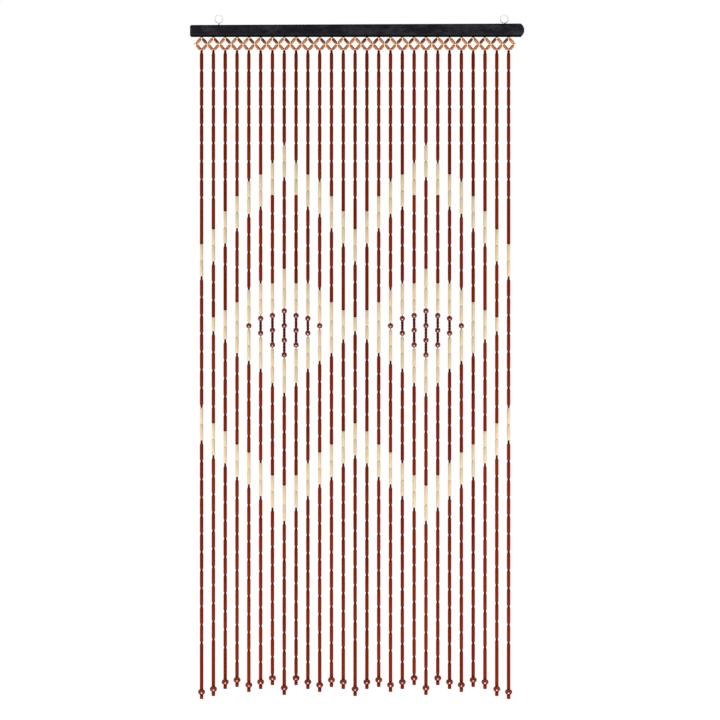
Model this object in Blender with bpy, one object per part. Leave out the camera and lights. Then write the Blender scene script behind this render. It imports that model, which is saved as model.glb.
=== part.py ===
"""Bead door curtain on its wooden hanging bar, at real size.

A black bar hangs from two screw eyes. Under it a row of diamonds in small beads carries
twenty-seven strings of long turned wooden beads, in which cream beads draw two nested
diamond figures side by side. Metres, +Z up, front towards -Y.

The origin lies on the line on which the two eyes hang, above the middle string and in the
plane of the strings. Depths are counted down from the underside of the bar.
"""
import math
from typing import NamedTuple

import bmesh
import bpy
from mathutils import Vector

MM = 0.001

# Bar: its underside is level, and it grows a little taller towards its rounded right end.
BAR_LEFT = -444.5 * MM
BAR_RIGHT = 455.5 * MM
BAR_DEPTH = 20.0 * MM
BAR_HEIGHT_LEFT = 31.6 * MM
BAR_HEIGHT_RIGHT = 35.7 * MM
BAR_CORNER_RADIUS = 5.0 * MM
BAR_EDGE_RADIUS = 3.6 * MM
BAR_NOSE_LENGTH = 9.7 * MM
CORNER_STEPS = 4
NOSE_STEPS = 10
EDGE_STEPS = 3

# Screw eyes: bent wire, with a shank that fits a blind hole in the top of the bar.
WIRE_RADIUS = 1.6 * MM
EYE_RADIUS = 10.1 * MM
EYE_BEND_RADIUS = 2.4 * MM
EYE_SEAT = 0.5 * MM
EYE_TIP_ANGLE = math.radians(20.0)
EYE_STEPS = 24
BEND_STEPS = 4
SHANK_LENGTH = 18.0 * MM
SHANK_STEPS = 3
EYE_PLACES = {"left_screw_eye": -367.0 * MM, "right_screw_eye": 402.0 * MM}
HOLE_SIDES = 12

# Neighbouring pieces keep this gap.
GAP = 0.3 * MM

# Strings: evenly spaced, the middle one below the origin.
STRING_COUNT = 27
STRING_PITCH = 31.8 * MM
FIGURE_CENTRES = (7, 19)

# Heading of diamonds: small beads at the corners, barrel beads along the sides.
TOP_BEAD_DEPTH = 4.9 * MM
SIDE_BEAD_DEPTH = 21.6 * MM
BOTTOM_BEAD_DEPTH = 33.5 * MM
SMALL_BEAD_REACH = 3.9 * MM
SMALL_BEAD_RADIUS = 3.25 * MM
LINK_RADIUS = 1.5 * MM
BARREL_RADIUS = 3.0 * MM
BARREL_WAIST_RADIUS = 2.0 * MM
BARREL_WAIST_PLACE = 4.0 * MM
BARREL_SHOULDER_PLACE = 6.2 * MM

# Long beads, and how they narrow where a brown one meets a cream one.
BROWN_RADIUS = 4.3 * MM
CREAM_RADIUS = 4.15 * MM
NECK_RADIUS = 2.6 * MM
NECK_LENGTH = 8.0 * MM
BEAD_ROUNDING = 1.5 * MM
FIRST_NECK_DEPTH = 41.5 * MM
FIRST_SHOULDER_DEPTH = 46.5 * MM

# Round beads on the fine chain at the middle of each figure.
ROUND_RADIUS = 6.85 * MM
ROUND_PITCH = 40.1 * MM
ROUND_MARGIN = 7.6 * MM
ROUND_FLAT = 3.0 * MM
ROUND_REACH = 6.2 * MM
CHAIN_RADIUS = 3.35 * MM

# Foot of each string: a large round bead over a short tube.
FOOT_RADIUS = 8.75 * MM
FOOT_HEIGHT = 15.3 * MM
FOOT_SHOULDER = 4.4 * MM
TIP_DEPTH = 26.0 * MM

SQUARE = "square"
NECKED = "necked"


class StringRow(NamedTuple):
    """One string's cream runs, in millimetres below the bar, from the top down.

    The upper and lower runs draw the outer diamond, the inner run the inner one. Round
    beads part the inner run about its middle where their count isn't 0.
    """

    upper_top: float
    upper_end: float
    inner_top: float
    inner_end: float
    rounds_middle: float
    rounds: int
    lower_top: float
    lower_end: float
    foot_top: float
    upper_top_joint: str
    upper_end_joint: str
    inner_top_joint: str
    lower_top_joint: str


# A row for each distance, in strings, from the middle of a figure.
STRING_ROWS = (
    StringRow(291.0, 378.0, 624.0, 959.0, 795.8, 4, 1207.5, 1303.5, 1746.0,
              NECKED, NECKED, SQUARE, SQUARE),
    StringRow(339.5, 426.5, 663.0, 932.0, 789.4, 3, 1180.0, 1267.5, 1719.5,
              NECKED, SQUARE, SQUARE, SQUARE),
    StringRow(370.0, 457.0, 663.5, 893.5, 777.9, 2, 1147.5, 1236.5, 1730.0,
              SQUARE, NECKED, NECKED, NECKED),
    StringRow(389.0, 476.5, 681.5, 872.5, 777.9, 1, 1118.5, 1205.0, 1738.0,
              NECKED, NECKED, NECKED, SQUARE),
    StringRow(428.5, 515.5, 714.0, 851.5, 0.0, 0, 1097.0, 1185.0, 1724.5,
              SQUARE, NECKED, SQUARE, SQUARE),
    StringRow(469.0, 556.0, 735.5, 814.5, 0.0, 0, 1061.5, 1148.5, 1730.0,
              SQUARE, NECKED, SQUARE, SQUARE),
    StringRow(517.5, 604.5, 754.5, 793.0, 0.0, 0, 1040.0, 1127.0, 1749.0,
              SQUARE, NECKED, SQUARE, SQUARE),
    StringRow(558.0, 645.0, 0.0, 0.0, 0.0, 0, 998.5, 1086.5, 1757.0,
              SQUARE, NECKED, SQUARE, NECKED),
)


class Corner(NamedTuple):
    """A corner of a small bead's outline, and the name of the side that follows it."""

    across: float
    up: float
    side: str


# Outlines of the heading's small beads, run clockwise.
SIDE_BEAD = (
    Corner(-SMALL_BEAD_REACH, 0.0, "upper_left"),
    Corner(0.0, SMALL_BEAD_REACH, "upper_right"),
    Corner(SMALL_BEAD_REACH, 0.0, "lower_right"),
    Corner(0.0, -SMALL_BEAD_REACH, "lower_left"),
)
TOP_BEAD = (
    Corner(-LINK_RADIUS, SMALL_BEAD_RADIUS, "link"),
    Corner(LINK_RADIUS, SMALL_BEAD_RADIUS, "upper_right"),
    Corner(SMALL_BEAD_REACH, 0.0, "lower_right"),
    Corner(0.0, -SMALL_BEAD_REACH, "lower_left"),
    Corner(-SMALL_BEAD_REACH, 0.0, "upper_left"),
)
BOTTOM_BEAD = (
    Corner(-NECK_RADIUS, -SMALL_BEAD_RADIUS, "lower_left"),
    Corner(-SMALL_BEAD_REACH, 0.0, "upper_left"),
    Corner(0.0, SMALL_BEAD_REACH, "upper_right"),
    Corner(SMALL_BEAD_REACH, 0.0, "lower_right"),
    Corner(NECK_RADIUS, -SMALL_BEAD_RADIUS, "strand"),
)


class Section(NamedTuple):
    """One square ring of a strand, and the finish of the stretch that ends there."""

    depth: float
    radius: float
    finish: str


# Finish names, in the order of the strings' material slots.
FINISHES = ("brown", "cream", "dark", "gold")
FINISH_COLOURS = {
    "brown": (0.165, 0.021, 0.007, 1.0),
    "cream": (0.68, 0.53, 0.34, 1.0),
    "dark": (0.045, 0.004, 0.003, 1.0),
    "gold": (0.83, 0.55, 0.19, 1.0),
}


def bar_height(x):
    """Height of the bar at a place along it."""
    share = (x - BAR_LEFT) / (BAR_RIGHT - BAR_LEFT)
    return BAR_HEIGHT_LEFT + share * (BAR_HEIGHT_RIGHT - BAR_HEIGHT_LEFT)


# The eyes hang at z = 0, and the right one all but touches the taller end of the bar.
RING_CENTRE = WIRE_RADIUS - EYE_RADIUS
RING_BOTTOM = RING_CENTRE - EYE_RADIUS - WIRE_RADIUS
UNDERSIDE = RING_BOTTOM - EYE_SEAT - bar_height(EYE_PLACES["right_screw_eye"])


def clear_scene():
    """Remove every object of the scene that the script starts in."""
    for old in list(bpy.data.objects):
        bpy.data.objects.remove(old, do_unlink=True)


def material(name, colour, roughness, metallic=0.0):
    """Principled material with one colour."""
    finish = bpy.data.materials.new(name)
    finish.use_nodes = True
    shader = finish.node_tree.nodes["Principled BSDF"]
    shader.inputs["Base Color"].default_value = colour
    shader.inputs["Roughness"].default_value = roughness
    shader.inputs["Metallic"].default_value = metallic
    finish.diffuse_color = colour
    return finish


def add_mesh_object(name, bm, materials):
    """Turn a bmesh into an object of the scene, with its faces pointing out."""
    bmesh.ops.recalc_face_normals(bm, faces=bm.faces)
    mesh = bpy.data.meshes.new(name)
    bm.to_mesh(mesh)
    bm.free()
    for finish in materials:
        mesh.materials.append(finish)
    piece = bpy.data.objects.new(name, mesh)
    bpy.context.scene.collection.objects.link(piece)
    return piece


def arc(centre_x, centre_z, radius, start, end, steps):
    """Points of an arc in the XZ plane, both ends included, angles in degrees."""
    points = []
    for step in range(steps + 1):
        angle = math.radians(start + (end - start) * step / steps)
        points.append((centre_x + radius * math.cos(angle), centre_z + radius * math.sin(angle)))
    return points


def bar_outline():
    """Front outline of the bar, from its lower left corner round to its upper left one."""
    radius = BAR_CORNER_RADIUS
    corner_x = BAR_LEFT + radius
    half_right = bar_height(BAR_RIGHT - BAR_NOSE_LENGTH) / 2.0
    nose_radius = (half_right ** 2 + BAR_NOSE_LENGTH ** 2) / (2.0 * BAR_NOSE_LENGTH)
    nose_x = BAR_RIGHT - nose_radius
    nose_angle = math.degrees(math.asin(half_right / nose_radius))
    top_left = UNDERSIDE + bar_height(corner_x)
    outline = arc(corner_x, UNDERSIDE + radius, radius, 180.0, 270.0, CORNER_STEPS)
    outline += arc(nose_x, UNDERSIDE + half_right, nose_radius, -nose_angle, nose_angle, NOSE_STEPS)
    outline += arc(corner_x, top_left - radius, radius, 90.0, 180.0, CORNER_STEPS)
    return outline


def hole_cutter(name, x):
    """Cylinder that drills the blind hole for one eye's shank."""
    top = UNDERSIDE + bar_height(x)
    hole_radius = (WIRE_RADIUS + GAP) / math.cos(math.pi / HOLE_SIDES)
    length = SHANK_LENGTH + GAP + bar_height(x)
    bm = bmesh.new()
    bmesh.ops.create_cone(bm, cap_ends=True, segments=HOLE_SIDES, radius1=hole_radius,
                          radius2=hole_radius, depth=length)
    middle = top - SHANK_LENGTH - GAP + length / 2.0
    bmesh.ops.translate(bm, vec=(x, 0.0, middle), verts=bm.verts)
    cutter = add_mesh_object(name + "_hole", bm, [])
    cutter.hide_render = True
    cutter.display_type = "WIRE"
    return cutter


def build_bar():
    """Solid wooden bar with rounded long edges and a hole for each eye."""
    bm = bmesh.new()
    front = [bm.verts.new((x, -BAR_DEPTH / 2.0, z)) for x, z in bar_outline()]
    face = bm.faces.new(front)
    grown = bmesh.ops.extrude_face_region(bm, geom=[face])
    back = [item for item in grown["geom"] if isinstance(item, bmesh.types.BMVert)]
    bmesh.ops.translate(bm, vec=(0.0, BAR_DEPTH, 0.0), verts=back)
    wood = material("black_stained_wood", (0.017, 0.017, 0.019, 1.0), 0.55)
    bar = add_mesh_object("hanging_bar", bm, [wood])
    rounding = bar.modifiers.new("rounded_edges", "BEVEL")
    rounding.width = BAR_EDGE_RADIUS
    rounding.segments = EDGE_STEPS
    rounding.limit_method = "ANGLE"
    rounding.angle_limit = math.radians(60.0)
    for name, x in EYE_PLACES.items():
        drilling = bar.modifiers.new("drilled_" + name, "BOOLEAN")
        drilling.operation = "DIFFERENCE"
        drilling.solver = "EXACT"
        drilling.object = hole_cutter(name, x)
    return bar


def eye_path(x):
    """Centre line of one eye's wire: up the shank, round the ring, to its loose tip."""
    bend_centre = -math.sqrt(EYE_RADIUS ** 2 + 2.0 * EYE_RADIUS * EYE_BEND_RADIUS)
    shank_bottom = UNDERSIDE + bar_height(x) - SHANK_LENGTH - RING_CENTRE
    path = []
    for step in range(SHANK_STEPS):
        path.append((0.0, shank_bottom + (bend_centre - shank_bottom) * step / SHANK_STEPS))
    meeting = math.atan2(bend_centre, EYE_BEND_RADIUS)
    bend_end = math.degrees(meeting) + 180.0
    path += arc(EYE_BEND_RADIUS, bend_centre, EYE_BEND_RADIUS, 180.0, bend_end, BEND_STEPS)
    ring_start = math.degrees(meeting)
    ring_end = 270.0 - math.degrees(EYE_TIP_ANGLE)
    path += arc(0.0, 0.0, EYE_RADIUS, ring_start, ring_end, EYE_STEPS)[1:]
    return [Vector((x + across, 0.0, RING_CENTRE + up)) for across, up in path]


def build_eye(name, x, zinc):
    """Screw eye as a bevelled curve with capped ends."""
    curve = bpy.data.curves.new(name, "CURVE")
    curve.dimensions = "3D"
    curve.bevel_depth = WIRE_RADIUS
    curve.bevel_resolution = 2
    curve.use_fill_caps = True
    points = eye_path(x)
    spline = curve.splines.new("POLY")
    spline.points.add(len(points) - 1)
    for target, point in zip(spline.points, points):
        target.co = (*point, 1.0)
    curve.materials.append(zinc)
    eye = bpy.data.objects.new(name, curve)
    bpy.context.scene.collection.objects.link(eye)
    return eye


class StringBody:
    """Heading and strands as one closed mesh, grown ring by ring from the small beads."""

    def __init__(self):
        """Start an empty mesh."""
        self.bm = bmesh.new()

    def small_bead(self, x, depth, outline):
        """Add a corner bead as a prism, and return its side faces under their names."""
        z = UNDERSIDE - depth
        corners = []
        for corner in outline:
            corners.append(self.bm.verts.new((x + corner.across, -SMALL_BEAD_RADIUS, z + corner.up)))
        front = self.bm.faces.new(corners)
        grown = bmesh.ops.extrude_face_region(self.bm, geom=[front], use_keep_orig=True)
        back = [item for item in grown["geom"] if isinstance(item, bmesh.types.BMVert)]
        bmesh.ops.translate(self.bm, vec=(0.0, 2.0 * SMALL_BEAD_RADIUS, 0.0), verts=back)
        sides = {}
        for corner, start, end in zip(outline, corners, corners[1:] + corners[:1]):
            edge = self.bm.edges.get((start, end))
            sides[corner.side] = [face for face in edge.link_faces if face is not front][0]
        ends = [item for item in grown["geom"] if isinstance(item, bmesh.types.BMFace)]
        self.paint([front, *sides.values(), *ends], "gold")
        return sides

    def paint(self, faces, finish):
        """Give faces one of the string finishes."""
        for face in faces:
            face.material_index = FINISHES.index(finish)

    def grow(self, face, centre, along, radius, finish):
        """Extrude a four-sided face to a square ring about a centre, across a direction."""
        depth_axis = Vector((0.0, 1.0, 0.0))
        cross_axis = along.cross(depth_axis).normalized()
        old_centre = face.calc_center_median()
        grown = bmesh.ops.extrude_discrete_faces(self.bm, faces=[face])
        ring = grown["faces"][0]
        for corner in ring.verts:
            offset = corner.co - old_centre
            across = math.copysign(radius, offset.dot(cross_axis))
            deep = math.copysign(radius, offset.dot(depth_axis))
            corner.co = centre + cross_axis * across + depth_axis * deep
        for edge in ring.edges:
            self.paint([side for side in edge.link_faces if side is not ring], finish)
        self.paint([ring], finish)
        return ring

    def close(self, ring, face, finish):
        """Bridge the last ring of a barrel bead to the bead that it reaches."""
        edges = list(ring.edges) + list(face.edges)
        bmesh.ops.delete(self.bm, geom=[ring, face], context="FACES_ONLY")
        made = bmesh.ops.bridge_loops(self.bm, edges=edges)
        self.paint(made["faces"], finish)

    def barrel(self, start_face, start, end_face, end):
        """Run a barrel bead between two small beads."""
        start_point = Vector((start[0], 0.0, UNDERSIDE - start[1]))
        end_point = Vector((end[0], 0.0, UNDERSIDE - end[1]))
        along = (end_point - start_point).normalized()
        span = (end_point - start_point).length
        places = (
            (BARREL_WAIST_PLACE, BARREL_WAIST_RADIUS, "gold"),
            (BARREL_SHOULDER_PLACE, BARREL_RADIUS, "brown"),
            (span - BARREL_SHOULDER_PLACE, BARREL_RADIUS, "brown"),
            (span - BARREL_WAIST_PLACE, BARREL_WAIST_RADIUS, "brown"),
        )
        ring = start_face
        for place, radius, finish in places:
            ring = self.grow(ring, start_point + along * place, along, radius, finish)
        self.close(ring, end_face, "gold")

    def strand(self, face, x, sections):
        """Run a strand down from a face through its sections."""
        down = Vector((0.0, 0.0, -1.0))
        ring = face
        for section in sections:
            centre = Vector((x, 0.0, UNDERSIDE - section.depth))
            ring = self.grow(ring, centre, down, section.radius, section.finish)
        return ring


def joint_to_cream(depth, joint):
    """Sections where a brown bead ends and a cream one starts."""
    if joint == SQUARE:
        return [Section(depth, CREAM_RADIUS, "brown")]
    return [
        Section(depth - NECK_LENGTH, BROWN_RADIUS, "brown"),
        Section(depth - BEAD_ROUNDING, NECK_RADIUS, "brown"),
        Section(depth + BEAD_ROUNDING, CREAM_RADIUS, "cream"),
    ]


def joint_to_brown(depth, joint):
    """Sections where a cream bead ends and a brown one starts."""
    if joint == SQUARE:
        return [Section(depth, CREAM_RADIUS, "cream")]
    return [
        Section(depth - BEAD_ROUNDING, CREAM_RADIUS, "cream"),
        Section(depth + BEAD_ROUNDING, NECK_RADIUS, "cream"),
        Section(depth + NECK_LENGTH, BROWN_RADIUS, "brown"),
    ]


def round_beads(middle, count):
    """Sections of the round beads and their chain, between two cream runs."""
    first = middle - ROUND_PITCH * (count - 1) / 2.0
    last = middle + ROUND_PITCH * (count - 1) / 2.0
    sections = [Section(first - ROUND_MARGIN - BEAD_ROUNDING, CREAM_RADIUS, "cream")]
    for number in range(count):
        centre = first + ROUND_PITCH * number
        sections += [
            Section(centre - ROUND_REACH, CHAIN_RADIUS, "dark"),
            Section(centre - ROUND_FLAT, ROUND_RADIUS, "dark"),
            Section(centre + ROUND_FLAT, ROUND_RADIUS, "dark"),
            Section(centre + ROUND_REACH, CHAIN_RADIUS, "dark"),
        ]
    sections.append(Section(last + ROUND_MARGIN + BEAD_ROUNDING, CREAM_RADIUS, "cream"))
    return sections


def foot(top):
    """Sections of the large round bead and the short tube at a string's foot."""
    return [
        Section(top, BROWN_RADIUS, "brown"),
        Section(top + FOOT_SHOULDER, FOOT_RADIUS, "dark"),
        Section(top + FOOT_HEIGHT - FOOT_SHOULDER, FOOT_RADIUS, "dark"),
        Section(top + FOOT_HEIGHT, BROWN_RADIUS, "dark"),
        Section(top + TIP_DEPTH, BROWN_RADIUS, "brown"),
    ]


def string_sections(row):
    """All sections of one string, from its first neck to its tip."""
    sections = [
        Section(FIRST_NECK_DEPTH, NECK_RADIUS, "dark"),
        Section(FIRST_SHOULDER_DEPTH, BROWN_RADIUS, "brown"),
    ]
    sections += joint_to_cream(row.upper_top * MM, row.upper_top_joint)
    sections += joint_to_brown(row.upper_end * MM, row.upper_end_joint)
    if row.inner_end > row.inner_top:
        sections += joint_to_cream(row.inner_top * MM, row.inner_top_joint)
        if row.rounds:
            sections += round_beads(row.rounds_middle * MM, row.rounds)
        sections += joint_to_brown(row.inner_end * MM, NECKED)
    sections += joint_to_cream(row.lower_top * MM, row.lower_top_joint)
    sections += joint_to_brown(row.lower_end * MM, NECKED)
    sections += foot(row.foot_top * MM)
    return sections


def string_x(number):
    """Place of a string along the bar, also for the half numbers of the side beads."""
    return (number - (STRING_COUNT - 1) / 2.0) * STRING_PITCH


def figure_distance(number):
    """Distance of a string from the nearer figure's middle, in strings."""
    return min(abs(number - centre) for centre in FIGURE_CENTRES)


def build_strings(finishes):
    """Heading of diamonds with every strand fused to it, as one closed solid."""
    body = StringBody()
    side_beads = []
    for number in range(STRING_COUNT + 1):
        x = string_x(number - 0.5)
        side_beads.append((x, body.small_bead(x, SIDE_BEAD_DEPTH, SIDE_BEAD)))
    for number in range(STRING_COUNT):
        x = string_x(number)
        left_x, left = side_beads[number]
        right_x, right = side_beads[number + 1]
        top = body.small_bead(x, TOP_BEAD_DEPTH, TOP_BEAD)
        bottom = body.small_bead(x, BOTTOM_BEAD_DEPTH, BOTTOM_BEAD)
        top_place = (x, TOP_BEAD_DEPTH)
        bottom_place = (x, BOTTOM_BEAD_DEPTH)
        left_place = (left_x, SIDE_BEAD_DEPTH)
        right_place = (right_x, SIDE_BEAD_DEPTH)
        body.barrel(top["lower_left"], top_place, left["upper_right"], left_place)
        body.barrel(top["lower_right"], top_place, right["upper_left"], right_place)
        body.barrel(bottom["upper_left"], bottom_place, left["lower_right"], left_place)
        body.barrel(bottom["upper_right"], bottom_place, right["lower_left"], right_place)
        link_top = Vector((x, 0.0, UNDERSIDE - GAP))
        body.grow(top["link"], link_top, Vector((0.0, 0.0, 1.0)), LINK_RADIUS, "gold")
        row = STRING_ROWS[figure_distance(number)]
        body.strand(bottom["strand"], x, string_sections(row))
    return add_mesh_object("bead_strings", body.bm, finishes)


def main():
    """Build every piece of the curtain."""
    clear_scene()
    zinc = material("zinc_plate", (0.62, 0.63, 0.64, 1.0), 0.35, 1.0)
    finishes = [material(name + "_beads", FINISH_COLOURS[name], 0.4) for name in FINISHES]
    build_bar()
    for name, x in EYE_PLACES.items():
        build_eye(name, x, zinc)
    build_strings(finishes)


main()
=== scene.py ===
"""Looks of a wooden bead door curtain that hangs from a black bar.

The bar, its two screw eyes, the heading of diamonds and each of the strings of turned
beads are modelled here in full, in place of the solids. Metres, +Z up, front towards -Y.
Depths are counted down from the underside of the bar.
"""
import logging
import math
import random
from dataclasses import dataclass, field
from enum import Enum
from typing import NamedTuple, Sequence

import bmesh
import bpy
from bmesh.types import BMEdge, BMesh, BMFace, BMVert
from bpy.types import Material, NodeSocket, Object
from mathutils import Matrix, Vector

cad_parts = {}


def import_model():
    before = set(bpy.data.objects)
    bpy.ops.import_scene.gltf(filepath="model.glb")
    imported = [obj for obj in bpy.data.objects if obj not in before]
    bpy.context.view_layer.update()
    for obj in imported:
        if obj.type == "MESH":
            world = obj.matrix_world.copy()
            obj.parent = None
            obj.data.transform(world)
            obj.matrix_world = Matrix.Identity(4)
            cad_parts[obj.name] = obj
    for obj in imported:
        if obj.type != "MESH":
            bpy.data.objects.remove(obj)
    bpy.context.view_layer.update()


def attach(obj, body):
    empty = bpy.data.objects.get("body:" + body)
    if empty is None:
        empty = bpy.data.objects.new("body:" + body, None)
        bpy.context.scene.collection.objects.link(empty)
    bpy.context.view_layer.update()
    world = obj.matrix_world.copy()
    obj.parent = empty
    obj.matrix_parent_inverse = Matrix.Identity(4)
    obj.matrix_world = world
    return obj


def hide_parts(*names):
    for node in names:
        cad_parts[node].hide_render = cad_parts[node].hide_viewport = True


LOG = logging.getLogger("bead_curtain")
MM = 0.001

# Where the random small differences start, in the heading and in the first string.
HEADING_START = 7
STRINGS_START = 100

Pair = tuple[float, float]
Triple = tuple[float, float, float]
Colour = Triple
Profile = Sequence[Pair]


# Shader nodes


@dataclass(frozen=True)
class Value:
    """An output socket on which Python's operators add Math nodes."""

    graph: "Graph"
    socket: NodeSocket

    def __add__(self, other: "Value | float") -> "Value":
        """Sum of two values."""
        return self.graph.maths("ADD", self, other)

    __radd__ = __add__

    def __sub__(self, other: "Value | float") -> "Value":
        """Difference of two values."""
        return self.graph.maths("SUBTRACT", self, other)

    def __rsub__(self, other: "Value | float") -> "Value":
        """Difference of two values."""
        return self.graph.maths("SUBTRACT", other, self)

    def __mul__(self, other: "Value | float") -> "Value":
        """Product of two values."""
        return self.graph.maths("MULTIPLY", self, other)

    __rmul__ = __mul__

    def clamped(self) -> "Value":
        """The value held between 0 and 1."""
        return self.graph.add("ShaderNodeClamp", inputs={"Value": self})

    def stepped(self, low: float, high: float) -> "Value":
        """Smooth step of the value, from 0 at low to 1 at high."""
        return self.graph.add(
            "ShaderNodeMapRange",
            settings={"interpolation_type": "SMOOTHSTEP"},
            inputs={"Value": self, "From Min": low, "From Max": high},
        )


class Graph:
    """Node tree of one material."""

    def __init__(self, name: str) -> None:
        """Start a material that holds only its output and a Principled shader.

        Args:
            name: the material's name.
        """
        self.material = bpy.data.materials.new(name)
        self.material.use_nodes = True
        self.tree = self.material.node_tree
        self.shader = self.tree.nodes["Principled BSDF"]

    def add(
        self,
        kind: str,
        settings: dict | None = None,
        inputs: dict | None = None,
        output: str | int = 0,
    ) -> Value:
        """Add one node, with its settings first and its sockets after.

        Args:
            kind: the node's type.
            settings: its properties.
            inputs: values or links for its sockets, by name or number.
            output: the socket to return, by name or number.

        Returns:
            The chosen output.
        """
        node = self.tree.nodes.new(kind)
        for name, setting in (settings or {}).items():
            setattr(node, name, setting)
        for name, value in (inputs or {}).items():
            self.feed(node.inputs[name], value)
        return Value(self, node.outputs[output])

    def feed(self, socket: NodeSocket, value: "Value | float | Sequence[float]") -> None:
        """Link a value to a socket, or set it there.

        Args:
            socket: the input.
            value: a link, a number, or a colour or vector.
        """
        if isinstance(value, Value):
            self.tree.links.new(value.socket, socket)
        elif isinstance(value, (int, float)):
            socket.default_value = value
        elif len(socket.default_value) == len(value) + 1:
            socket.default_value = (*value, 1.0)
        else:
            socket.default_value = value

    def maths(self, operation: str, *values: "Value | float") -> Value:
        """Result of a Math node for an operation on some values in order."""
        return self.add("ShaderNodeMath", {"operation": operation}, dict(enumerate(values)))

    def mix(self, share: "Value | float", first: "Value | Colour", second: "Value | Colour") -> Value:
        """Mix of two colours, where a share of 0 gives the first and 1 the second."""
        return self.add("ShaderNodeMix", {"data_type": "RGBA"}, {0: share, 6: first, 7: second}, 2)

    def attribute(self, name: str) -> Value:
        """Value of a mesh attribute."""
        return self.add("ShaderNodeAttribute", {"attribute_name": name}, output="Fac")

    def turned(self) -> Value:
        """How far the surface is turned away from view, for the sheen and shade that finishes paint into
        their rims.
        """
        return self.add("ShaderNodeLayerWeight", inputs={"Blend": 0.5}, output="Facing")

    def place(self, stretch: Triple) -> Value:
        """Object coordinates, scaled along X, Y and Z."""
        where = self.add("ShaderNodeTexCoord", output="Object")
        return self.add("ShaderNodeMapping", inputs={"Vector": where, "Scale": stretch})

    def noise(
        self, stretch: Triple, offset: "Value | float", detail: float = 3.0, roughness: float = 0.5
    ) -> Value:
        """Noise of scale 1 on scaled Object coordinates.

        Args:
            stretch: scale along X, Y and Z.
            offset: fourth coordinate, which may differ from bead to bead.
            detail: how many octaves.
            roughness: how strong the fine ones are.

        Returns:
            The noise, about 0.5 on average.
        """
        where = self.place(stretch)
        inputs = {"Vector": where, "W": offset, "Scale": 1.0, "Detail": detail, "Roughness": roughness}
        return self.add("ShaderNodeTexNoise", {"noise_dimensions": "4D"}, inputs)

    def bump(self, height: Value, depth: float, strength: float) -> Value:
        """Normal that a height field of 0 to 1 gives, as deep as depth in metres."""
        inputs = {"Height": height, "Distance": depth, "Strength": strength}
        return self.add("ShaderNodeBump", inputs=inputs)

    def dress(self, **sockets: "Value | float | Sequence[float]") -> Material:
        """Set the Principled shader's sockets, whose names have underscores for spaces.

        Args:
            sockets: values or links by socket name.

        Returns:
            The finished material.
        """
        for name, value in sockets.items():
            self.feed(self.shader.inputs[name.replace("_", " ")], value)
        return self.material


# Finishes


class Layer(Enum):
    """Attributes that the beads carry for their finishes."""

    TINT = "tint"
    # How near each point is to its bead's end, for darkening there: painted shade in the waists between
    # beads together with darker end grain.
    NEAR_END = "near_end"


class Wood(Enum):
    """Finishes of the strings and the heading, each with its place in the slots."""

    BROWN = 0
    CREAM = 1
    ROUND = 2
    BARREL = 3
    GOLD = 4
    CORD = 5


@dataclass(frozen=True)
class TurnedWood:
    """Lacquered or waxed wood, turned into beads, with grain along the strings and a colour painted at
    the rims.
    """

    name: str
    body: Colour
    pale: Colour
    # deep: colour towards each bead's ends, painted shade in the waists between beads together with
    # darker end grain.
    deep: Colour
    # edge and rim: colour painted where the surface turns away from view, a redder painted sheen on
    # brown, round and barrel beads and painted shade on cream ones.
    edge: Colour
    rim: float
    grain: float
    roughness: float
    specular: float
    coat: float = 0.0
    streak_scale: Triple = (700.0, 700.0, 45.0)
    pore_scale: Triple = (2600.0, 2600.0, 420.0)

    def build(self) -> Material:
        """Make the material, which reads each bead's tint and how near its end is."""
        graph = Graph(self.name)
        tint = graph.attribute(Layer.TINT.value)
        near_end = graph.attribute(Layer.NEAR_END.value)
        streaks = graph.noise(self.streak_scale, tint * 37.0, 4.0)
        pores = graph.noise(self.pore_scale, tint * 11.0, 2.0)
        tone = graph.mix(tint, self.body, self.pale)
        # Painted sheen and painted shade at the rims, mixed in by how far the surface turns from view.
        tone = graph.mix(graph.turned().stepped(0.25, 0.95) * self.rim, tone, self.edge)
        # Darker towards each bead's ends, painted shade in the waists together with darker end grain, and
        # darker along the grain streaks.
        dark = (near_end * 0.85 + (streaks - 0.5) * self.grain).clamped()
        return graph.dress(
            Base_Color=graph.mix(dark, tone, self.deep),
            Roughness=(self.roughness + (streaks - 0.5) * 0.25).clamped(),
            Specular_IOR_Level=self.specular,
            Coat_Weight=self.coat,
            Coat_Roughness=0.12,
            Coat_IOR=1.7,
            Normal=graph.bump(streaks * 0.6 + pores * 0.4, 0.12 * MM, 0.5),
        )


@dataclass(frozen=True)
class GoldBead:
    """Pale gold of the small beads at the heading's corners."""

    name: str = "pale_gold"
    bright: Colour = (1.0, 0.66, 0.25)
    dull: Colour = (0.92, 0.52, 0.17)
    speck_scale: Triple = (900.0, 900.0, 900.0)

    def build(self) -> Material:
        """Make the material."""
        graph = Graph(self.name)
        specks = graph.noise(self.speck_scale, graph.attribute(Layer.TINT.value) * 9.0)
        return graph.dress(
            Base_Color=graph.mix(specks.stepped(0.35, 0.75), self.bright, self.dull),
            Metallic=0.3,
            Roughness=0.24 + specks * 0.2,
            Normal=graph.bump(specks, 0.05 * MM, 0.4),
        )


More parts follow.
